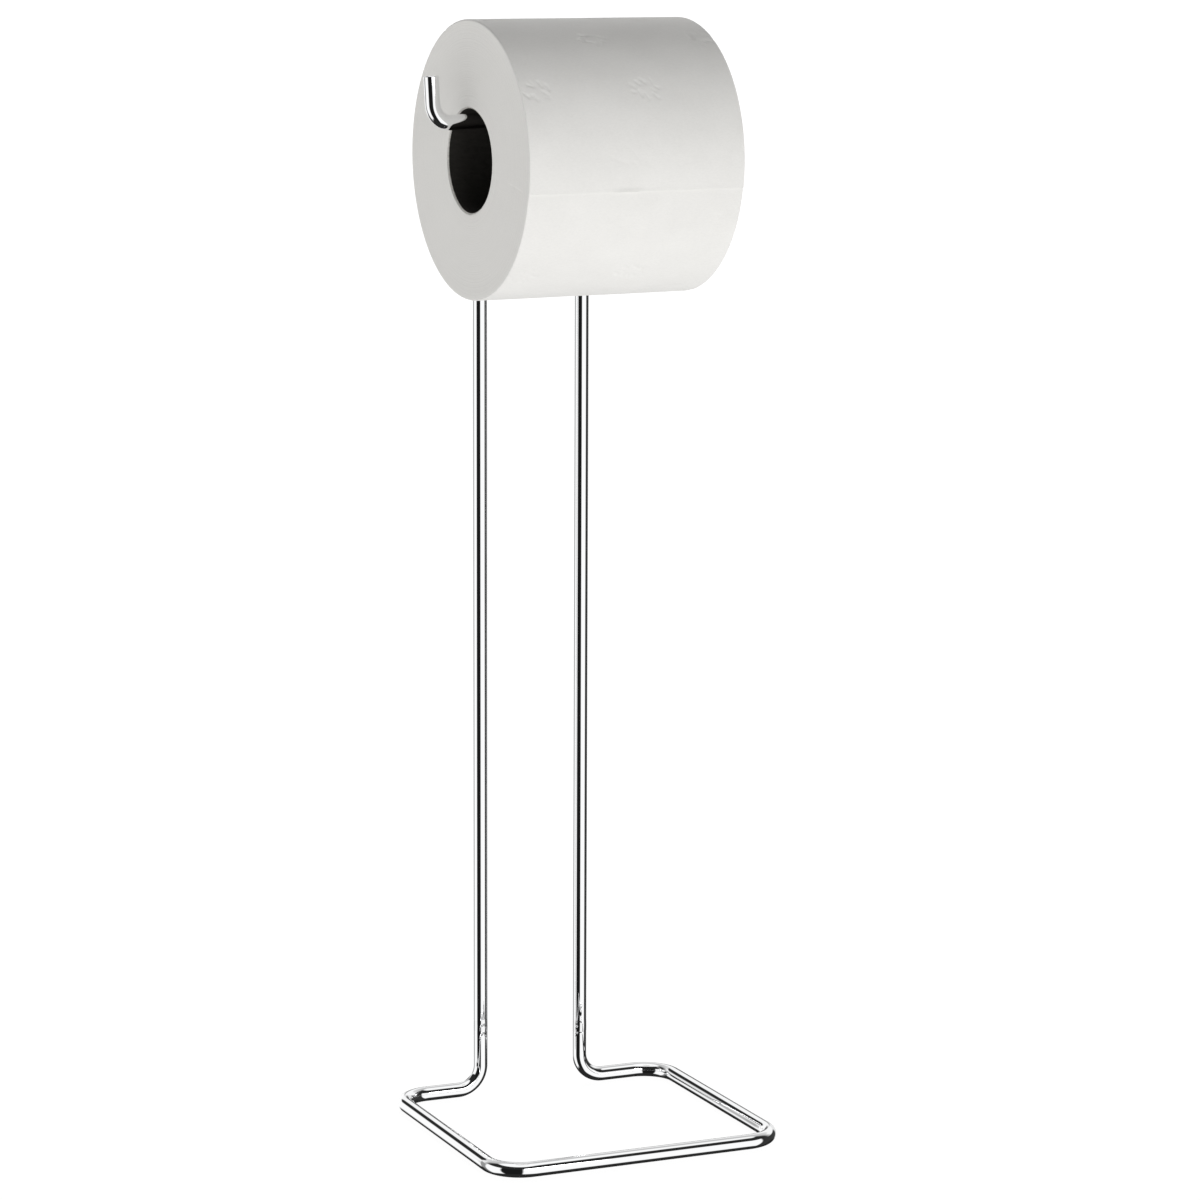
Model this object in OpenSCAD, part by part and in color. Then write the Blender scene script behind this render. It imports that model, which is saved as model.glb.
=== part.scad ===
// Free-standing toilet paper holder of bent chrome wire, with a full roll on its arm.
// Millimetres. The origin is on the floor under the middle of the base: X runs to the right as the
// holder is faced, with the hook on the left, Y runs to the back, where the uprights stand, Z is up.
// Four wires of one diameter are welded end to end and in tees: a floor loop, two uprights and an arm.

/* [Wire] */
// Diameter of the wire
wire_d = 6.5; // [5:0.1:8]

/* [Base] */
// Width of the floor loop, between wire centres
base_w = 132; // [120:1:180]
// Depth of the floor loop, between wire centres
base_d = 125; // [122:1:180]
// Bend radius of the loop's four corners, at the wire's centre
corner_r = 15; // [9:0.5:20]
// Bend radius where the loop turns up into the uprights, at the wire's centre
foot_r = 11; // [9:0.5:14]

/* [Uprights] */
// Distance between the uprights, between wire centres
upright_gap = 49.2; // [40:0.2:56]
// Height of the left upright's butt weld above the floor
left_weld_z = 33; // [26:1:60]
// Height of the right upright's butt weld above the floor
right_weld_z = 28; // [26:1:60]

/* [Arm] */
// Height of the level arm above the floor, at the wire's centre
arm_z = 445; // [300:0.5:600]
// How far the arm droops towards its hook, in degrees
arm_droop = 3.1; // [1:0.1:5]
// How far the arm lies in front of the uprights, between wire centres
arm_reach = 67.5; // [67:0.5:80]
// How far the arm's side leg is to the right of the base's middle
arm_right = 56.8; // [56:0.2:70]
// How far the hook is to the left of the base's middle
arm_left = 72.6; // [70:0.2:90]
// How far the kink where the arm starts to droop is to the left of the base's middle
kink_left = 15; // [10:0.5:20]
// Bend radius of the arm's two right-hand corners, at the wire's centre
arm_r = 12; // [9:0.5:12]
// Bend radius of the hook, at the wire's centre
hook_r = 8; // [7:0.5:10]
// Length of the hook's leg, from the arm's centre to its cut tip
hook_h = 19.9; // [15:0.1:40]

/* [Roll] */
// Outer diameter of the full roll
roll_d = 118; // [80:1:118]
// Length of the roll, along its axis
roll_len = 100; // [90:1:100]
// Inner diameter of the cardboard core
core_d = 43; // [38:0.5:48]
// Thickness of each of the core's two cardboard plies
ply_t = 0.5; // [0.3:0.05:0.8]
// How far the loose roll has swung round on its arm, in degrees
roll_yaw = 3; // [0:0.5:3]
// How far the roll's hook end hangs lower than its other end, in degrees
roll_tilt = 1; // [0:0.5:1]
// Thickness of the outermost sheet's free edge
sheet_t = 0.3; // [0.1:0.05:0.5]
// Length of the outermost sheet, from its perforation to its free edge
sheet_len = 120; // [90:1:140]
// How far below the roll's axis the free edge lies on its front, in degrees
sheet_drop = 12; // [0:1:60]

/* [Hidden] */
$fn = 64;

wire_r = wire_d / 2;
half_w = base_w / 2;
half_d = base_d / 2;
half_gap = upright_gap / 2;

// The roll is midway between the hook and the side leg, and its ends stay free of both.
arm_y = half_d - arm_reach;
roll_x = (arm_right - arm_left) / 2;

// A foot weld fills the gap between two wire ends and stands a little proud of them.
weld_len = 3;
weld_crown = 0.25;
weld_crown_r = (pow(weld_len / 2, 2) + pow(weld_crown, 2)) / (2 * weld_crown);

// An upright's top is coped to the round of the arm wire and fillets round it.
cope_h = 1.4;
tee_weld_h = 3;
tee_weld_t = 1.1;
tee_weld_toe = 0.25;
tee_overhang = 1.5;

// The roll hangs from the top of its core, just clear of the arm's kink.
hang_gap = 0.35;
glue_gap = 0.05;
roll_z = arm_z + wire_r + hang_gap + (roll_x + kink_left) * tan(roll_tilt) - core_d / 2;
core_r = core_d / 2;
ply_r = core_r + ply_t;
paper_r = ply_r + glue_gap + ply_t + glue_gap;
wound_r = roll_d / 2 - sheet_t;
sheet_angle = sheet_len / roll_d * 360 / PI;
sheet_end = 270 + sheet_drop;

// A bend in the wire: it starts at the origin along +Z and turns towards +X.
module bend(angle, r) {
    translate([r, 0, 0])
        rotate([90, 0, 180])
            rotate_extrude(angle = angle)
                translate([r, 0])
                    circle(r = wire_r);
}

// A wire that starts at the origin along +Z and follows its steps in turn. A step [length] runs straight.
// A step [angle, radius, heading] bends: on a level wire whose own X points down, the heading is 0 to
// bend down, 90 to the left, 180 up and 270 to the right, as seen along the wire.
module bent_wire(steps, i = 0) {
    step = steps[i];
    if (i < len(steps) && len(step) == 1) {
        cylinder(h = step[0], r = wire_r);
        translate([0, 0, step[0]])
            bent_wire(steps, i + 1);
    }
    if (i < len(steps) && len(step) == 3)
        rotate([0, 0, step[2]]) {
            bend(step[0], step[1]);
            translate([step[1] * (1 - cos(step[0])), 0, step[1] * sin(step[0])])
                rotate([0, step[0], 0])
                    rotate([0, 0, -step[2]])
                        bent_wire(steps, i + 1);
        }
}

// The floor loop, open in the middle of its back, where both ends turn up as short risers
module base_wire() {
    left_riser = left_weld_z - weld_len / 2 - wire_r - foot_r;
    right_riser = right_weld_z - weld_len / 2 - wire_r - foot_r;
    stub = half_w - half_gap - corner_r - foot_r;
    side = base_d - 2 * corner_r;
    front = base_w - 2 * corner_r;
    foot = [90, foot_r, 180];
    corner = [90, corner_r, 90];
    color("silver")
        translate([-half_gap, half_d, left_weld_z - weld_len / 2])
            rotate([180, 0, 0])
                bent_wire([[left_riser], foot, [stub], corner, [side], corner, [front], corner,
                           [side], corner, [stub], foot, [right_riser]]);
}

// A straight stretch of the front run that starts at the kink and falls away along X by half of the
// droop, and then the wire's further steps. The kink's end is cut upright, to meet its mirror image.
module half_arm(run, steps) {
    difference() {
        rotate([0, 90 + arm_droop / 2, 0])
            translate([0, 0, -wire_r])
                cylinder(h = wire_r + run, r = wire_r);
        translate([-2 * wire_d, -wire_d, -wire_d])
            cube(2 * wire_d);
    }
    rotate([0, 90 + arm_droop / 2, 0])
        translate([0, 0, run])
            bent_wire(steps);
}

// The arm's front run passes level into the roll's core, droops gently to the left from a kink inside
// it and ends in a square-bent hook. On the right it turns back and crosses the uprights' tops.
module arm_wire() {
    rear_run = arm_right + half_gap + wire_r + tee_overhang - arm_r;
    level_run = arm_right + kink_left - arm_r;
    droop_run = (arm_left - kink_left) / cos(arm_droop) - hook_r;
    color("silver")
        translate([-kink_left, arm_y, arm_z])
            rotate([0, -arm_droop / 2, 0]) {
                half_arm(level_run, [[90, arm_r, 90], [arm_reach - 2 * arm_r], [90, arm_r, 90], [rear_run]]);
                mirror([1, 0, 0])
                    half_arm(droop_run, [[90, hook_r, 180], [hook_h - hook_r]]);
            }
}

// The room that the arm's rear run takes, where the uprights meet it
module rear_run_room() {
    translate([-half_gap - 2 * wire_d, half_d, arm_z])
        rotate([0, 90, 0])
            cylinder(h = upright_gap + 4 * wire_d, r = wire_r);
}

// A straight upright at x, from its butt weld at height z up to its coped top
module upright(x, z) {
    foot = z + weld_len / 2;
    color("silver")
        difference() {
            translate([x, half_d, foot])
                cylinder(h = arm_z - wire_r + cope_h - foot, r = wire_r);
            rear_run_room();
        }
}

module left_upright() {
    upright(-half_gap, left_weld_z);
}

module right_upright() {
    upright(half_gap, right_weld_z);
}

// A butt weld at x, centred on height z: a slug of the wire's own section with a low crown
module foot_weld(x, z) {
    color("silver")
        translate([x, half_d, z])
            rotate_extrude()
                intersection() {
                    translate([wire_r + weld_crown - weld_crown_r, 0])
                        circle(r = weld_crown_r);
                    translate([0, -weld_len / 2])
                        square([wire_d, weld_len]);
                }
}

module left_foot_weld() {
    foot_weld(-half_gap, left_weld_z);
}

module right_foot_weld() {
    foot_weld(half_gap, right_weld_z);
}

// A fillet of weld round the top of the upright at x, hugging the underside of the rear run
module top_weld(x) {
    color("silver")
        difference() {
            translate([x, half_d, arm_z - wire_r + cope_h - tee_weld_h])
                cylinder(h = tee_weld_h, r1 = wire_r + tee_weld_toe, r2 = wire_r + tee_weld_t);
            translate([x, half_d, arm_z - 2 * wire_d])
                cylinder(h = 2 * wire_d, r = wire_r);
            rear_run_room();
        }
}

module left_top_weld() {
    top_weld(-half_gap);
}

module right_top_weld() {
    top_weld(half_gap);
}

// Puts its children on the roll's axis: their Z runs along it, and they start at its middle.
module on_roll_axis() {
    translate([roll_x, arm_y, roll_z])
        rotate([0, 0, roll_yaw])
            rotate([0, 90 - roll_tilt, 0])
                children();
}

// A tube along the roll's axis, as long as the roll
module tube(inner_r, outer_r) {
    difference() {
        cylinder(h = roll_len, r = outer_r, center = true);
        cylinder(h = roll_len + 2, r = inner_r, center = true);
    }
}

module core_inner_ply() {
    color("tan")
        on_roll_axis()
            tube(core_r, ply_r);
}

module core_outer_ply() {
    color("burlywood")
        on_roll_axis()
            tube(ply_r + glue_gap, ply_r + glue_gap + ply_t);
}

// A pie slice from the roll's axis out past its surface, over the outermost sheet
module sheet_slice() {
    reach = roll_d;
    start = sheet_end - sheet_angle;
    polygon([[0, 0],
             for (i = [0 : 3]) reach * [cos(start + sheet_angle * i / 3), sin(start + sheet_angle * i / 3)]]);
}

// The wound paper, with the outermost sheet as a thin step that ends in the free edge
module paper_roll() {
    color("whitesmoke")
        on_roll_axis()
            linear_extrude(height = roll_len, center = true)
                difference() {
                    union() {
                        circle(r = wound_r);
                        intersection() {
                            circle(r = roll_d / 2);
                            sheet_slice();
                        }
                    }
                    circle(r = paper_r);
                }
}

base_wire();
left_upright();
right_upright();
arm_wire();
left_foot_weld();
right_foot_weld();
left_top_weld();
right_top_weld();
core_inner_ply();
core_outer_ply();
paper_roll();
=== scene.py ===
import math
import random

import bpy
import numpy as np
from mathutils import Matrix, Vector, noise


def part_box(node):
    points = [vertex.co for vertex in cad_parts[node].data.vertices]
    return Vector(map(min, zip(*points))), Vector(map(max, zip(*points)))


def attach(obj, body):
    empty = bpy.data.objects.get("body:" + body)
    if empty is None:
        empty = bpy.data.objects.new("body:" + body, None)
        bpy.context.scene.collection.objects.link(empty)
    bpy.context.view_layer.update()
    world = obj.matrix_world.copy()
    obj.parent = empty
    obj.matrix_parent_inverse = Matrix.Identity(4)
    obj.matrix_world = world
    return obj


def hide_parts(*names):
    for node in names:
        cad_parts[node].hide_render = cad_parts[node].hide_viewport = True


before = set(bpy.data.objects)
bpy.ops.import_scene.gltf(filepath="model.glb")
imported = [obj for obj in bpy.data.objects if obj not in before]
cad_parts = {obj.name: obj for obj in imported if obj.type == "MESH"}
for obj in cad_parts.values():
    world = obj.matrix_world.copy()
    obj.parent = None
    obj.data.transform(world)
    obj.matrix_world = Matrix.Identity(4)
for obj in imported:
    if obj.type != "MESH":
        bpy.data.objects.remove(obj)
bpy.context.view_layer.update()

MM = 0.001
scene = bpy.context.scene
scene.view_settings.view_transform = "Standard"

# ---------------------------------------------------------------- camera, in front, to the left and slightly above
CAMERA_AZIMUTH = -23.888
CAMERA_ELEVATION = 8.429
CAMERA_ROLL = 0.221
CAMERA_DISTANCE = 1.6182
CAMERA_TARGET = (0.00656, 0.0, 0.23533)
LENS_LENGTH = 111.3
SENSOR_WIDTH = 36.0

camera_data = bpy.data.cameras.new("camera")
camera_data.lens = LENS_LENGTH
camera_data.sensor_width = SENSOR_WIDTH
camera = bpy.data.objects.new("camera", camera_data)
scene.collection.objects.link(camera)
scene.camera = camera


def aim_camera():
    """Places the camera on a sphere round its target and looks at it."""
    a, e = math.radians(CAMERA_AZIMUTH), math.radians(CAMERA_ELEVATION)
    back = Vector((math.sin(a) * math.cos(e), -math.cos(a) * math.cos(e), math.sin(e)))
    turn = (-back).to_track_quat("-Z", "Y").to_matrix() @ Matrix.Rotation(math.radians(CAMERA_ROLL), 3, "Z")
    camera.matrix_world = Matrix.Translation(Vector(CAMERA_TARGET) + back * CAMERA_DISTANCE) @ turn.to_4x4()


aim_camera()

# ---------------------------------------------------------------- mesh helpers


def make_object(name, verts, faces, material, smooth=True):
    """A new mesh object of one material, linked to the scene."""
    mesh = bpy.data.meshes.new(name)
    mesh.from_pydata([tuple(v) for v in verts], [], faces)
    mesh.validate()
    mesh.update()
    mesh.materials.append(material)
    mesh.polygons.foreach_set("use_smooth", [smooth] * len(mesh.polygons))
    obj = bpy.data.objects.new(name, mesh)
    scene.collection.objects.link(obj)
    return obj


def grid_faces(rows, columns, start=0):
    """Quads of a rows x columns grid of vertices, whose last column joins the first."""
    faces = []
    for i in range(rows - 1):
        for j in range(columns):
            k = (j + 1) % columns
            faces.append((start + i * columns + j, start + i * columns + k,
                          start + (i + 1) * columns + k, start + (i + 1) * columns + j))
    return faces


def closed_ends(rows, columns):
    """Two flat faces that close the first and the last row of a grid."""
    return [tuple(reversed(range(columns))), tuple(range((rows - 1) * columns, rows * columns))]


def circle_angles(columns):
    """Angles of columns points round a full circle, in radians."""
    return [2 * math.pi * j / columns for j in range(columns)]


def lumps(point, scale, seed):
    """Smooth noise from -1 to 1, with bumps about scale metres across."""
    return noise.noise(Vector(point) / scale + Vector((17.3 * seed, -9.1 * seed, 5.7 * seed)))


# ---------------------------------------------------------------- materials


def new_material(name):
    """A material with its nodes, its links and its shader."""
    material = bpy.data.materials.new(name)
    material.use_nodes = True
    nodes, links = material.node_tree.nodes, material.node_tree.links
    return material, nodes, links, nodes["Principled BSDF"]


def noise_texture(nodes, links, vector, detail, roughness):
    """Fractal noise over the given coordinates, one lump per unit of them."""
    node = nodes.new("ShaderNodeTexNoise")
    node.inputs["Scale"].default_value = 1.0
    node.inputs["Detail"].default_value = detail
    node.inputs["Roughness"].default_value = roughness
    if vector is not None:
        links.new(vector, node.inputs["Vector"])
    return node


def mapped(nodes, links, scale):
    """The piece's own coordinates, in lumps per metre along X, Y and Z."""
    coords = nodes.new("ShaderNodeTexCoord")
    mapping = nodes.new("ShaderNodeMapping")
    mapping.inputs["Scale"].default_value = scale
    links.new(coords.outputs["Object"], mapping.inputs["Vector"])
    return mapping.outputs["Vector"]


def ramp(nodes, links, source, stops):
    """A colour for each value of source, between stops of a position and a colour."""
    node = nodes.new("ShaderNodeValToRGB")
    elements = node.color_ramp.elements
    while len(elements) < len(stops):
        elements.new(0.5)
    for element, (position, value) in zip(elements, stops):
        element.position = position
        element.color = (*value, 1.0)
    links.new(source, node.inputs["Fac"])
    return node.outputs["Color"]


def grey(value):
    return (value, value, value)


def scaled(nodes, links, source, factor, offset=0.0):
    """source times factor, plus offset."""
    node = nodes.new("ShaderNodeMath")
    node.operation = "MULTIPLY_ADD"
    links.new(source, node.inputs[0])
    node.inputs[1].default_value = factor
    node.inputs[2].default_value = offset
    return node.outputs[0]


def bump(nodes, links, height, distance, strength, normal=None):
    """A bumped normal, from a height of distance metres, on top of another one."""
    node = nodes.new("ShaderNodeBump")
    node.inputs["Strength"].default_value = strength
    node.inputs["Distance"].default_value = distance
    links.new(height, node.inputs["Height"])
    if normal is not None:
        links.new(normal, node.inputs["Normal"])
    return node.outputs["Normal"]


def chrome(name, tone, haze, pits):
    """Bright plating: a faint smear of haze, hairline polishing marks, the odd pit and a slight waviness."""
    material, nodes, links, shader = new_material(name)
    shader.inputs["Metallic"].default_value = 1.0
    smear = noise_texture(nodes, links, mapped(nodes, links, (90, 90, 35)), 5.0, 0.6)
    hair = noise_texture(nodes, links, mapped(nodes, links, (900, 900, 900)), 3.0, 0.7)
    mix = nodes.new("ShaderNodeMath")
    mix.operation = "MULTIPLY"
    links.new(smear.outputs["Fac"], mix.inputs[0])
    links.new(hair.outputs["Fac"], mix.inputs[1])
    rough = ramp(nodes, links, mix.outputs[0],
                 [(0.1, grey(haze * 0.5)), (0.3, grey(haze)), (0.55, grey(haze * 3.2))])
    links.new(rough, shader.inputs["Roughness"])
    spots = noise_texture(nodes, links, mapped(nodes, links, (420, 420, 420)), 2.0, 0.5)
    dark = tuple(c * 0.35 for c in tone)
    colour = ramp(nodes, links, spots.outputs["Fac"],
                  [(0.0, dark), (pits, dark), (pits + 0.02, tone), (1.0, tone)])
    links.new(colour, shader.inputs["Base Color"])
    wave = noise_texture(nodes, links, mapped(nodes, links, (55, 55, 40)), 1.0, 0.4)
    first = bump(nodes, links, wave.outputs["Fac"], 0.0003, 0.10)
    links.new(bump(nodes, links, hair.outputs["Fac"], 0.00001, 0.02, first), shader.inputs["Normal"])
    return material


wire_chrome = chrome("wire_chrome", (0.90, 0.905, 0.91), 0.02, 0.16)
weld_chrome = chrome("weld_chrome", (0.86, 0.865, 0.87), 0.035, 0.17)

# ---------------------------------------------------------------- wires
upright_lo, upright_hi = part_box("left_upright")
WIRE_R = (upright_hi.x - upright_lo.x) / 2
LEFT_X = (upright_lo.x + upright_hi.x) / 2
RIGHT_X = sum(c.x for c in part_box("right_upright")) / 2
BACK_Y = (upright_lo.y + upright_hi.y) / 2
base_lo, base_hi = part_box("base_wire")
arm_lo, arm_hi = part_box("arm_wire")

ROUND = 48  # points round a wire
ROUTE_STEP = 4 * MM
BROKEN_EDGE = 0.7 * MM
SQUARE_EDGE = 0.02 * MM
END_DISH = 0.12 * MM

CORNER_BEND = 15 * MM
FOOT_BEND = 11 * MM
ARM_BEND = 12 * MM
KINK_BEND = 300 * MM  # the kink inside the core is a long, gentle curve
HOOK_BEND = 8 * MM
COPE = 1.4 * MM
ARM_OVERHANG = 1.5 * MM


def rounded_route(corners, radii):
    """Points along straight runs that are joined by arcs of the given radii."""
    points = [Vector(corners[0])]

    def straight_to(end):
        """Points on the way from the last one to end, without either."""
        run = end - points[-1]
        pieces = max(1, round(run.length / ROUTE_STEP))
        return [points[-1] + run * (i / pieces) for i in range(1, pieces)]

    for before, corner, after, radius in zip(corners, corners[1:], corners[2:], radii):
        before, corner, after = Vector(before), Vector(corner), Vector(after)
        inward, onward = (corner - before).normalized(), (after - corner).normalized()
        angle = inward.angle(onward)
        setback = radius * math.tan(angle / 2)
        centre = corner - inward * setback + (onward - inward * inward.dot(onward)).normalized() * radius
        start = corner - inward * setback - centre
        axis = inward.cross(onward).normalized()
        count = max(4, math.ceil(angle / math.radians(3.0)))
        arc = [centre + Matrix.Rotation(angle * i / count, 3, axis) @ start for i in range(count + 1)]
        points += straight_to(arc[0]) + arc
    last = Vector(corners[-1])
    return points + straight_to(last) + [last]


def wire(name, corners, radii, rounded):
    """A round wire swept along a route. Its two ends have a broken edge if rounded, or else a square one."""
    points = rounded_route(corners, radii)
    edge = BROKEN_EDGE if rounded else SQUARE_EDGE
    tangents = []
    for i, point in enumerate(points):
        ahead = points[min(i + 1, len(points) - 1)] - points[max(i - 1, 0)]
        tangents.append(ahead.normalized())
    rings = []
    side = tangents[0].orthogonal().normalized()
    for i, (point, tangent) in enumerate(zip(points, tangents)):
        if i:
            side = tangents[i - 1].rotation_difference(tangent) @ side
        side = (side - tangent * side.dot(tangent)).normalized()
        rings.append((point, tangent, side, WIRE_R))

    def end_rings(ring, way):
        """Rings that close an end: outwards along its edge and in to the centre."""
        point, tangent, across, r = ring
        out = []
        for k in range(1, 7):
            t = math.radians(90 * k / 6)
            out.append((point + tangent * way * (edge * (math.sin(t) - 1)), tangent, across,
                        r - edge + edge * math.cos(t)))
        for share in (0.7, 0.35, 0.02):
            dish = END_DISH * (1 - share) if rounded else 0.0
            out.append((point - tangent * way * dish, tangent, across, (r - edge) * share))
        return out

    def pulled(ring, way):
        """The end's ring, moved back by the width of its edge."""
        point, tangent, across, r = ring
        return (point - tangent * way * edge, tangent, across, r)

    first, last = rings[0], rings[-1]
    rings[0], rings[-1] = pulled(first, -1), pulled(last, 1)
    rings = end_rings(first, -1)[::-1] + rings + end_rings(last, 1)
    verts = []
    for point, tangent, across, r in rings:
        up = tangent.cross(across)
        for t in circle_angles(ROUND):
            verts.append(point + (across * math.cos(t) + up * math.sin(t)) * r)
    faces = grid_faces(len(rings), ROUND) + closed_ends(len(rings), ROUND)
    return make_object(name, verts, faces, wire_chrome)


FLOOR_Z = base_lo.z + WIRE_R + 0.002 * MM  # a hair up, so that no rounding takes it below the floor
side_x = base_hi.x - WIRE_R
front_y = base_lo.y + WIRE_R
left_weld_lo, left_weld_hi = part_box("left_foot_weld")
right_weld_lo, right_weld_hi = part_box("right_foot_weld")
floor_loop = wire("floor_loop",
                  [(LEFT_X, BACK_Y, left_weld_lo.z), (LEFT_X, BACK_Y, FLOOR_Z), (-side_x, BACK_Y, FLOOR_Z),
                   (-side_x, front_y, FLOOR_Z), (side_x, front_y, FLOOR_Z), (side_x, BACK_Y, FLOOR_Z),
                   (RIGHT_X, BACK_Y, FLOOR_Z), (RIGHT_X, BACK_Y, right_weld_lo.z)],
                  [FOOT_BEND, *[CORNER_BEND] * 4, FOOT_BEND], False)
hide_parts("base_wire")

ARM_Z = upright_hi.z + WIRE_R - COPE
ARM_Y = arm_lo.y + WIRE_R
ARM_RIGHT = arm_hi.x - WIRE_R
ARM_LEFT = -72.6 * MM
DROOP = math.radians(3.1)
KINK_X = -15 * MM
HOOK_LENGTH = 19.9 * MM
hook_corner = Vector((ARM_LEFT, ARM_Y, ARM_Z - (KINK_X - ARM_LEFT) * math.tan(DROOP)))
hook_tip = hook_corner + HOOK_LENGTH * Vector((-math.sin(DROOP), 0, math.cos(DROOP)))
arm = wire("arm",
           [(LEFT_X - WIRE_R - ARM_OVERHANG, BACK_Y, ARM_Z), (ARM_RIGHT, BACK_Y, ARM_Z),
            (ARM_RIGHT, ARM_Y, ARM_Z), (KINK_X, ARM_Y, ARM_Z), hook_corner, hook_tip],
           [ARM_BEND, ARM_BEND, KINK_BEND, HOOK_BEND], True)
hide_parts("arm_wire")


def upright(name, x, bottom):
    """A straight upright, with its top coped to the round of the arm's rear run."""
    rows = []
    low = ARM_Z - WIRE_R - 3 * MM
    for z in [bottom, *np.linspace(bottom + 0.02 * MM, low, 90)]:
        rows.append([(x + WIRE_R * math.cos(t), BACK_Y + WIRE_R * math.sin(t), z) for t in circle_angles(ROUND)])
    for share in (0.5, 1.0):
        ring = []
        for t in circle_angles(ROUND):
            top = ARM_Z - WIRE_R * abs(math.cos(t)) * 0.97
            ring.append((x + WIRE_R * math.cos(t), BACK_Y + WIRE_R * math.sin(t), low + (top - low) * share))
        rows.append(ring)
    verts = [v for row in rows for v in row]
    faces = grid_faces(len(rows), ROUND) + closed_ends(len(rows), ROUND)
    return make_object(name, verts, faces, wire_chrome)


left_post = upright("left_post", LEFT_X, left_weld_hi.z)
right_post = upright("right_post", RIGHT_X, right_weld_hi.z)
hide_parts("left_upright")
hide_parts("right_upright")


def butt_bead(name, x, z, seed):
    """A ground-down butt weld: an uneven swelling round the joint, with a shallow seam and small lumps."""
    rows, columns, half = 26, 72, 4.2 * MM
    sunk = 0.02 * MM  # its rims lie just inside the wires
    verts = []
    for i in range(rows):
        s = -1 + 2 * i / (rows - 1)
        for t in circle_angles(columns):
            around = Vector((math.cos(t), math.sin(t), 0))
            spot = around * WIRE_R + Vector((0, 0, s * half))
            swell = (1 - s * s) ** 2 * (0.07 + 0.11 * lumps(spot, 5.0 * MM, seed)) * MM
            fine = (1 - s * s) * 0.006 * lumps(spot, 1.6 * MM, seed + 3) * MM
            from_seam = s * half - 0.5 * MM * lumps(around, 0.9, seed)
            seam = -0.012 * MM * math.exp(-(from_seam / (0.7 * MM)) ** 2)
            r = WIRE_R - sunk + swell + fine + seam
            verts.append((x + around.x * r, BACK_Y + around.y * r, z + s * half))
    faces = grid_faces(rows, columns) + closed_ends(rows, columns)
    return make_object(name, verts, faces, weld_chrome)


left_bead = butt_bead("left_butt_weld", LEFT_X, (left_weld_lo.z + left_weld_hi.z) / 2, 1)
right_bead = butt_bead("right_butt_weld", RIGHT_X, (right_weld_lo.z + right_weld_hi.z) / 2, 2)
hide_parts("left_foot_weld")
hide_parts("right_foot_weld")


def tee_bead(name, x, seed):
    """A fillet weld round the coped top of an upright, rippled as a hand-laid bead is."""
    columns, rows = 96, 12
    verts = []
    for i in range(rows):
        s = i / (rows - 1)
        for t in circle_angles(columns):
            c, n = math.cos(t), math.sin(t)
            wide = abs(c) ** 0.7
            ripple = 1 + 0.16 * lumps((c, n, 0), 0.22, seed) + 0.10 * math.sin(26 * t + seed)
            joint_z = ARM_Z - WIRE_R * abs(c)
            low = Vector((WIRE_R * c, WIRE_R * n, joint_z - (0.6 + 1.9 * wide) * MM * ripple))
            corner = Vector((WIRE_R * c, WIRE_R * n, joint_z))
            high = Vector((WIRE_R * c + math.copysign(1, c) * 1.7 * MM * wide * ripple, WIRE_R * n, joint_z))
            out = Vector((c, n * 0.6, -0.6)).normalized()
            control = corner + out * (0.25 + 0.55 * wide) * MM
            p = low * (1 - s) ** 2 + control * 2 * s * (1 - s) + high * s * s
            proud = out * 0.10 * MM * math.sin(math.pi * s)
            p = p + proud + out * 0.06 * MM * lumps(p, 0.8 * MM, seed + 5)
            verts.append((x + p.x, BACK_Y + p.y, p.z))
    return make_object(name, verts, grid_faces(rows, columns), weld_chrome)


left_tee = tee_bead("left_tee_weld", LEFT_X, 3)
right_tee = tee_bead("right_tee_weld", RIGHT_X, 4)
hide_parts("left_top_weld")
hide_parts("right_top_weld")

for piece in (floor_loop, arm, left_post, right_post):
    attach(piece, "stand")
for piece in (left_bead, right_bead, left_tee, right_tee):
    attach(piece, "stand")

# ---------------------------------------------------------------- roll
roll_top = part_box("paper_roll")[1].z
core_lo, core_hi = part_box("core_inner_ply")
ROLL_CENTRE = (core_lo + core_hi) / 2
YAW = math.radians(3.0)
TILT = math.radians(1.0)
ROLL_HALF = 50 * MM
SHEET_T = 0.3 * MM
SHEET_LENGTH = 120 * MM
SHEET_END = 282.0  # where the free edge lies, in degrees from straight down by way of the back
ROUNDED_RIM = 0.6 * MM
PLY_T = 0.5 * MM
SPIRAL_PITCH = 95 * MM
BANDS = 13  # rows of sprigs round the roll
FIRST_BAND = 14.5  # degrees from the free edge to the first row
SPRIG_PITCH = 50.6  # along a row, in millimetres
ROW_SHIFTS = (-6.2, 7.8)  # of even and odd rows along the roll, in millimetres
HOLLOW_DEPTH = 0.22 * MM
SPRIG_DEPTH = 0.34 * MM
PERFORATION_DEPTH = 0.16 * MM


def radius_of(half_height):
    """The radius of a tube as long as the roll, from half of the height of its box."""
    return (half_height - ROLL_HALF * math.sin(TILT)) / math.cos(TILT)


ROLL_R = radius_of(roll_top - ROLL_CENTRE.z)
CORE_R = radius_of((core_hi.z - core_lo.z) / 2) - PLY_T
BORE_R = CORE_R + 1.1 * MM
# The roll's own frame: X is down, Y to the back and Z along its axis, to the right.
ROLL_FRAME = (Matrix.Translation(ROLL_CENTRE) @ Matrix.Rotation(YAW, 4, "Z")
              @ Matrix.Rotation(math.radians(90) - TILT, 4, "Y"))


def tinted(nodes, links, base, source, stops):
    """base, multiplied by the greys that source picks."""
    tint = nodes.new("ShaderNodeMix")
    tint.data_type = "RGBA"
    tint.blend_type = "MULTIPLY"
    tint.inputs["Factor"].default_value = 1.0
    links.new(base, tint.inputs["A"])
    links.new(ramp(nodes, links, source, [(position, grey(value)) for position, value in stops]), tint.inputs["B"])
    return tint.outputs["Result"]


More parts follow.
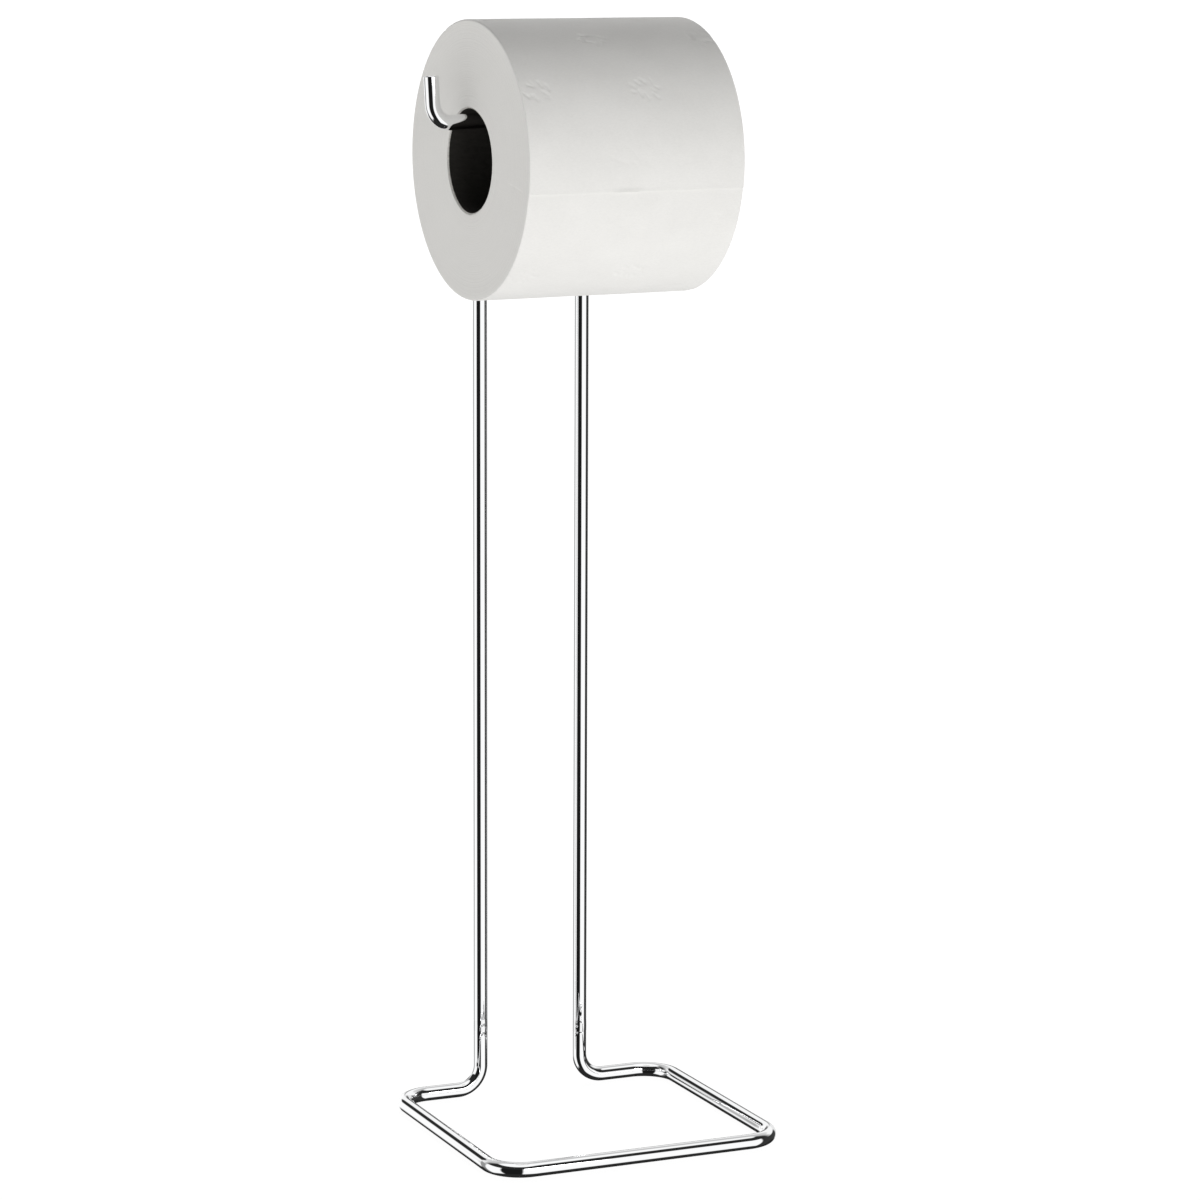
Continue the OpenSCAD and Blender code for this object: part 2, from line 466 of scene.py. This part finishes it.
def paper_material(name, end_face):
    """Soft tissue with fibres: clouded along the side, or with the edges of its layers on an end. The end's tones are
    painted lighter than the side's, a painted brightening of the ends.
    """
    material, nodes, links, shader = new_material(name)
    shader.inputs["Roughness"].default_value = 0.92
    shader.inputs["Specular IOR Level"].default_value = 0.25
    shader.inputs["Sheen Weight"].default_value = 0.12
    shader.inputs["Sheen Roughness"].default_value = 0.6
    fibre = noise_texture(nodes, links, mapped(nodes, links, (1500, 1500, 700)), 6.0, 0.72)
    if end_face:
        length = nodes.new("ShaderNodeVectorMath")
        length.operation = "LENGTH"
        links.new(mapped(nodes, links, (1, 1, 0)), length.inputs[0])
        layers = noise_texture(nodes, links, None, 4.0, 0.8)
        layers.noise_dimensions = "1D"
        links.new(scaled(nodes, links, length.outputs["Value"], 2600.0), layers.inputs["W"])
        # Painted light: these end tones are lighter than the side's tissue below, so the ends read brighter than
        # their lighting makes them; the rings between the two tones are the wound layers.
        light, dark = (0.825, 0.815, 0.785), (0.735, 0.725, 0.70)
        first = ramp(nodes, links, layers.outputs["Fac"], [(0.30, dark), (0.62, light)])
        height = bump(nodes, links, layers.outputs["Fac"], 0.0003, 0.35)
    else:
        cloud = noise_texture(nodes, links, mapped(nodes, links, (60, 60, 45)), 4.0, 0.55)
        light, dark = (0.748, 0.740, 0.718), (0.71, 0.702, 0.68)
        first = ramp(nodes, links, cloud.outputs["Fac"], [(0.25, dark), (0.75, light)])
        height = bump(nodes, links, cloud.outputs["Fac"], 0.0006, 0.10)
    links.new(tinted(nodes, links, first, fibre.outputs["Fac"], [(0.3, 0.955), (0.62, 1.0)]),
              shader.inputs["Base Color"])
    links.new(bump(nodes, links, fibre.outputs["Fac"], 0.00012, 0.35, height), shader.inputs["Normal"])
    return material


side_paper = paper_material("side_paper", False)
end_paper_painted_lighter = paper_material("end_paper_painted_lighter", True)


def card_material(name, tone):
    """Rough board with long fibres and dark flecks."""
    material, nodes, links, shader = new_material(name)
    shader.inputs["Roughness"].default_value = 0.9
    shader.inputs["Specular IOR Level"].default_value = 0.2
    fibre = noise_texture(nodes, links, mapped(nodes, links, (700, 700, 260)), 6.0, 0.75)
    fleck = noise_texture(nodes, links, mapped(nodes, links, (1600, 1600, 900)), 2.0, 0.5)
    light = tuple(c * 1.2 for c in tone)
    dark = tuple(c * 0.7 for c in tone)
    base = ramp(nodes, links, fibre.outputs["Fac"], [(0.3, dark), (0.55, tone), (0.75, light)])
    links.new(tinted(nodes, links, base, fleck.outputs["Fac"], [(0.26, 0.55), (0.34, 1.0)]),
              shader.inputs["Base Color"])
    links.new(bump(nodes, links, fibre.outputs["Fac"], 0.0002, 0.4), shader.inputs["Normal"])
    return material


# Painted shade: the inner ply's board is painted near black for the unlit inside of the core; the real board is a mid
# grey-brown.
inner_card_painted_shade = card_material("inner_card_painted_shade", (0.026, 0.024, 0.021))
outer_card = card_material("outer_card", (0.66, 0.645, 0.61))


def stroke_dent(round_mm, axial_mm, start, end, width):
    """How deep a pressed stroke is at points of the unrolled sheet, from 0 to 1."""
    ax, ay = start
    bx, by = end
    dx, dy = bx - ax, by - ay
    t = np.clip(((round_mm - ax) * dx + (axial_mm - ay) * dy) / (dx * dx + dy * dy), 0, 1)
    gap = np.hypot(round_mm - ax - t * dx, axial_mm - ay - t * dy)
    return np.exp(-(gap / width) ** 2)


def sprig(centre, draw):
    """The strokes of one pressed motif: short soft dashes that lean the same way round a loose oval."""
    strokes = []
    for k in range(10):
        a = 2 * math.pi * (k + draw.uniform(-0.3, 0.3)) / 10
        reach = draw.uniform(0.55, 1.0)
        x, y = centre[0] + 4.6 * reach * math.cos(a), centre[1] + 6.6 * reach * math.sin(a)
        lean, half = math.radians(draw.uniform(15, 75)), draw.uniform(0.4, 1.5)
        dx, dy = half * math.cos(lean), half * math.sin(lean)
        width, depth = draw.uniform(0.55, 0.85), draw.uniform(0.35, 1.0)
        strokes.append(((x - dx, y - dy), (x + dx, y + dy), width, depth))
    return strokes


def unrolled(turned):
    """Arc lengths on the roll's surface, in millimetres, for angles in degrees."""
    return np.radians(turned) * ROLL_R / MM


def side_profile(rows):
    """Places along the roll, and how far the surface is drawn in there to round over its two rims."""
    rim = [math.radians(90 * k / 5) for k in range(5)]
    along = [-ROLL_HALF + ROUNDED_RIM * (1 - math.cos(t)) for t in rim]
    drawn_in = [ROUNDED_RIM * (1 - math.sin(t)) for t in rim]
    straight = np.linspace(-ROLL_HALF + ROUNDED_RIM, ROLL_HALF - ROUNDED_RIM, rows)
    return (np.array(along + list(straight) + [-w for w in along[::-1]]),
            np.array(drawn_in + [0.0] * rows + drawn_in[::-1]))


def hollows(a, w):
    """Soft hollows from handling, from 0 to 1: smooth noise on a coarse grid of the surface, filled in."""
    rows_at, cols_at = np.arange(0, a.shape[0], 8), np.arange(0, a.shape[1], 12)
    points = np.stack([np.cos(np.radians(a)) * ROLL_R, np.sin(np.radians(a)) * ROLL_R, w], axis=-1)[::8, ::12]
    soft = np.array([lumps(p, 32 * MM, 7) for p in points.reshape(-1, 3)]).reshape(points.shape[:2])
    wide = np.array([np.interp(np.arange(a.shape[1]), cols_at, line) for line in soft])
    wide = np.array([np.interp(np.arange(a.shape[0]), rows_at, wide[:, j]) for j in range(a.shape[1])]).T
    return 0.5 + 0.5 * wide


def pressed_pattern(round_mm, axial_mm):
    """Depth of the pressed sprigs, about 0 to 1, in staggered rows that are flatter round the loose end."""
    lap = 2 * math.pi * ROLL_R / MM
    dents = np.zeros_like(round_mm)
    draw = random.Random(7)
    for band in range(BANDS):
        across = unrolled(SHEET_END - FIRST_BAND - band * 360.0 / BANDS)
        firm = min(1.35, 0.35 + 0.6 * min(band, BANDS - 1 - band))
        for column in range(-1, 2):
            centre = (across, column * SPRIG_PITCH + ROW_SHIFTS[band % 2])
            for start, end, width, depth in sprig(centre, draw):
                for shift in (0.0, lap):
                    near = ((np.abs(round_mm - (start[0] + end[0]) / 2 - shift) < 4)
                            & (np.abs(axial_mm - (start[1] + end[1]) / 2) < 4))
                    if near.any():
                        dents[near] = np.maximum(dents[near], firm * depth * stroke_dent(
                            round_mm[near] - shift, axial_mm[near], start, end, width))
    return dents


def loose_end(from_edge, axial_mm):
    """How far the outermost sheet's free edge stands off, in millimetres, most at a tab near its middle."""
    tab = np.exp(-((axial_mm + 4.5) / 6.0) ** 4)
    return np.exp(-(from_edge / 1.0) ** 2)[None, :] * (0.08 + 0.40 * tab)


def perforation(from_edge, axial_mm):
    """Depth of the dashed line where the outermost sheet tears off, from 0 to 1."""
    dash = np.sin(axial_mm * 2 * math.pi / 3.2) > -0.45
    return np.exp(-((from_edge - SHEET_LENGTH / MM) / 0.45) ** 2)[None, :] * dash


def end_layers(rim, level, end, angles, rings):
    """Rings from the rim in to the bore: wound layers that stand a little proud of each other."""
    columns = len(angles)
    out = []
    for k in range(1, rings + 1):
        s = k / rings
        r = rim * (1 - s) + BORE_R * s
        step = 0.05 * MM * (lumps((k * 0.37, end * 3.1, 0.2), 1.0, 11) + 0.6 * (k % 2))
        wave = 0.30 * MM * lumps((s * 2.1, end * 2.0, 1.7), 1.0, 13)
        coarse = np.radians(angles[::12])
        spin = np.array([lumps((math.cos(t) * 1.3, math.sin(t) * 1.3, s * 3 + end), 1.0, 17) for t in coarse])
        spin = np.interp(np.arange(columns), np.arange(0, columns, 12), spin)
        depth = np.abs(step) + abs(wave) + 0.22 * MM * (0.5 + 0.5 * spin)
        depth = depth * min(1.0, 6 * s) * (1.0 if k < rings else 1.6)
        out.append(np.stack([r * np.cos(np.radians(angles)), r * np.sin(np.radians(angles)),
                             level - end * depth], axis=-1))
    return np.concatenate(out)


def joined(first, second, columns):
    """Quads between two rows of vertices that start at first and second."""
    return [(first + j, first + (j + 1) % columns, second + (j + 1) % columns, second + j) for j in range(columns)]


def paper_roll():
    """The wound paper: a side with the outermost sheet's step and free edge, two layered ends and a bore."""
    columns, rings = 720, 64
    angles = SHEET_END + 0.02 + 359.96 * np.linspace(0, 1, columns)
    along, drawn_in = side_profile(200)
    w, a = np.meshgrid(along, angles, indexing="ij")
    radius = ROLL_R - SHEET_T * (1 - (a - SHEET_END) / 360) - drawn_in[:, None]
    axial_mm = w / MM
    from_edge = unrolled(360 - (angles - SHEET_END))
    radius -= HOLLOW_DEPTH * hollows(a, w)
    radius -= SPRIG_DEPTH * pressed_pattern(unrolled(a), axial_mm)
    radius += MM * loose_end(from_edge, axial_mm)
    radius -= PERFORATION_DEPTH * perforation(from_edge, axial_mm)

    x, y = radius * np.cos(np.radians(a)), radius * np.sin(np.radians(a))
    verts = [np.stack([x, y, w], axis=-1).reshape(-1, 3)]
    faces = grid_faces(len(along), columns)
    side_faces = len(faces)
    total = len(along) * columns
    bores = {}
    for end, row in ((-1, 0), (1, len(along) - 1)):
        verts.append(end_layers(radius[row], along[row], end, angles, rings))
        quads = joined(row * columns, total, columns) + grid_faces(rings, columns, total)
        faces += quads if end > 0 else [q[::-1] for q in quads]
        bores[end] = total + (rings - 1) * columns
        total += rings * columns
    end_faces = len(faces)
    faces += [q[::-1] for q in joined(bores[-1], bores[1], columns)]
    obj = make_object("tissue", np.concatenate(verts), faces, side_paper)
    obj.data.materials.append(end_paper_painted_lighter)
    index = np.zeros(len(faces), int)
    index[side_faces:end_faces] = 1
    obj.data.polygons.foreach_set("material_index", index)
    obj.data.set_sharp_from_angle(angle=math.radians(58))
    return obj


def ply(name, inner, outer, recess, material, seam_turn, seed):
    """One spirally wound ply of the core: a tube with a helical butt seam and slightly ragged ends."""
    columns, rows = 128, 120
    left, right = -ROLL_HALF + recess, ROLL_HALF - recess
    verts = []
    for shell, sign in ((inner, 1), (outer, -1)):
        for i in range(rows):
            s = i / (rows - 1)
            for t in circle_angles(columns):
                rag = 0.14 * MM * lumps((math.cos(t) * 2.6, math.sin(t) * 2.6, seed), 1.0, seed)
                z = left + rag + (right - left - 2 * rag) * s
                helix = (t / (2 * math.pi) + z / SPIRAL_PITCH + seam_turn) % 1.0
                gap = min(helix, 1 - helix) * 2 * math.pi * inner / MM
                groove = 0.20 * MM * math.exp(-(gap / 0.55) ** 2) if sign > 0 else 0.0
                uneven = 0.05 * MM * lumps((math.cos(t) * 3, math.sin(t) * 3, z * 60), 1.0, seed + 2)
                r = shell + sign * (groove + abs(uneven) * 0.4)
                verts.append((r * math.cos(t), r * math.sin(t), z))
    size = rows * columns
    top = size - columns
    faces = [q[::-1] for q in grid_faces(rows, columns)] + grid_faces(rows, columns, size)
    faces += joined(0, size, columns) + [q[::-1] for q in joined(top, size + top, columns)]
    obj = make_object(name, verts, faces, material)
    obj.data.set_sharp_from_angle(angle=math.radians(50))
    return obj


tissue = paper_roll()
inner_tube = ply("core_inner", CORE_R, CORE_R + PLY_T * 0.9, 0.9 * MM, inner_card_painted_shade, 0.1, 21)
outer_tube = ply("core_outer", CORE_R + PLY_T + 0.03 * MM, CORE_R + 2 * PLY_T, 0.6 * MM, outer_card, 0.6, 23)
for piece, node, slot in ((tissue, "paper_roll", "tissue_paper"),
                          (inner_tube, "core_inner_ply", "core_board"),
                          (outer_tube, "core_outer_ply", "core_board")):
    piece.matrix_world = ROLL_FRAME
    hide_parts(node)
    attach(piece, "roll")

# ---------------------------------------------------------------- floor, backdrop and light


def plain(name, emission, albedo):
    """A matt grey that may glow white."""
    material, nodes, links, shader = new_material(name)
    shader.inputs["Base Color"].default_value = (albedo, albedo, albedo, 1)
    shader.inputs["Roughness"].default_value = 1.0
    shader.inputs["Specular IOR Level"].default_value = 0.0
    shader.inputs["Emission Color"].default_value = (1, 1, 1, 1)
    shader.inputs["Emission Strength"].default_value = emission
    return material


FLOOR_HALF = 7.0
floor_corners = [(-FLOOR_HALF, -FLOOR_HALF, 0), (FLOOR_HALF, -FLOOR_HALF, 0),
                 (FLOOR_HALF, FLOOR_HALF, 0), (-FLOOR_HALF, FLOOR_HALF, 0)]
floor = make_object("floor", floor_corners, [(0, 1, 2, 3)], plain("floor_white", 0.95, 0.12), smooth=False)
WALL_SIDES, WALL_R, WALL_HEIGHT = 64, 5.0, 1.5
wall_verts = [(WALL_R * math.cos(t), WALL_R * math.sin(t), z)
              for z in (0, WALL_HEIGHT) for t in circle_angles(WALL_SIDES)]
wall = make_object("backdrop", wall_verts, [q[::-1] for q in grid_faces(2, WALL_SIDES)],
                   plain("wall_white", 1.05, 0.1))


def around(angle, radius, z):
    """A point at an angle to the right of the camera's direction, as seen from the object."""
    a = math.radians(CAMERA_AZIMUTH + angle)
    return Vector((math.sin(a) * radius, -math.cos(a) * radius, z))


def studio_world():
    """The room round the object: white cards and dark gaps low down, a dark band above them, a white ceiling.

    Azimuths are degrees to the right of the camera's direction, and elevations are degrees above level.
    """
    world = bpy.data.worlds.new("studio")
    scene.world = world
    world.use_nodes = True
    nodes, links = world.node_tree.nodes, world.node_tree.links
    direction = nodes.new("ShaderNodeTexCoord").outputs["Generated"]
    split = nodes.new("ShaderNodeSeparateXYZ")
    turn = nodes.new("ShaderNodeVectorRotate")
    turn.rotation_type = "Z_AXIS"
    turn.inputs["Angle"].default_value = math.radians(-CAMERA_AZIMUTH)
    links.new(direction, turn.inputs["Vector"])
    links.new(turn.outputs["Vector"], split.inputs["Vector"])
    angle = nodes.new("ShaderNodeMath")
    angle.operation = "ARCTAN2"
    links.new(split.outputs["X"], angle.inputs[0])
    links.new(scaled(nodes, links, split.outputs["Y"], -1.0), angle.inputs[1])
    share = scaled(nodes, links, angle.outputs[0], 1 / (2 * math.pi), 0.5)
    height = scaled(nodes, links, split.outputs["Z"], 0.5, 0.5)

    def azimuth(stops):
        """Brightness by direction round the object, between stops of degrees and a grey."""
        return ramp(nodes, links, share, [((degrees + 180) / 360, grey(value)) for degrees, value in stops])

    def elevation(stops):
        """Brightness by direction up and down, between stops of degrees and a grey."""
        return ramp(nodes, links, height, [((math.sin(math.radians(degrees)) + 1) / 2, grey(value))
                                           for degrees, value in stops])

    def mix(factor, first, second):
        """first where factor is 0, second where it is 1."""
        node = nodes.new("ShaderNodeMix")
        node.data_type = "RGBA"
        links.new(factor, node.inputs["Factor"])
        links.new(first, node.inputs["A"])
        links.new(second, node.inputs["B"])
        return node.outputs["Result"]

    low = azimuth([(-180, 0.12), (-175, 0.12), (-170, 1.0), (-129, 1.0), (-125, 0.30), (-105, 0.30), (-99, 1.0),
                   (-54, 1.0), (-48, 0.01), (8, 0.01), (13, 1.0), (78, 1.0), (84, 0.03), (148, 0.05),
                   (156, 0.80), (170, 0.80), (175, 0.12)])
    front = azimuth([(-125, 0.0), (-100, 1.0), (105, 1.0), (130, 0.0)])
    behind = azimuth([(-180, 0.95), (-156, 0.95), (-151, 0.02), (-134, 0.02), (-128, 0.95), (120, 0.95), (180, 0.95)])
    high_front = elevation([(19, 0.02), (57, 0.02), (61, 1.0), (90, 1.0)])
    high_back = elevation([(25, 0.9), (45, 0.6), (60, 0.5), (66, 1.0), (90, 1.0)])
    ground = elevation([(-90, 0.02), (-40, 0.02)])
    front_low = mix(elevation([(-54, 1.0), (-47, 0.0)]), low, ground)
    back_low = mix(elevation([(-25, 1.0), (-19, 0.0)]), low, ground)
    back_high = mix(elevation([(33, 0.0), (37, 1.0)]), behind, high_back)
    front_all = mix(elevation([(22, 0.0), (26, 1.0)]), front_low, high_front)
    back_all = mix(elevation([(13, 0.0), (17, 1.0)]), back_low, back_high)
    links.new(mix(front, back_all, front_all), nodes["Background"].inputs["Color"])
    nodes["Background"].inputs["Strength"].default_value = 1.08


studio_world()
for white in (floor, wall):
    white.visible_glossy = False  # the chrome mirrors the world instead


def softbox(name, location, target, width, height, watts):
    """A rectangular light that looks at target and isn't seen by the camera."""
    data = bpy.data.lights.new(name, "AREA")
    data.shape = "RECTANGLE"
    data.size, data.size_y = width, height
    data.energy = watts
    light = bpy.data.objects.new(name, data)
    light.matrix_world = (Matrix.Translation(location)
                          @ (Vector(target) - Vector(location)).to_track_quat("-Z", "Y").to_matrix().to_4x4())
    light.visible_camera = False
    scene.collection.objects.link(light)
    return light


softbox("key", around(30, 2.0, 0.72), (0, 0, 0.35), 1.2, 0.6, 13.2)
softbox("rim", around(180, 1.8, 1.47), (0, 0, 0.45), 1.0, 0.5, 25).visible_glossy = False

# A card over the object, which only shades the paper's top; the chrome and the camera look past it.
shade = make_object("ceiling_card", [(-0.9, -1.5, 1.25), (0.9, -1.5, 1.25), (0.9, 0.3, 1.25), (-0.9, 0.3, 1.25)],
                    [(0, 1, 2, 3)], plain("card_black", 0.0, 0.02), smooth=False)
shade.visible_camera = False
shade.visible_glossy = False
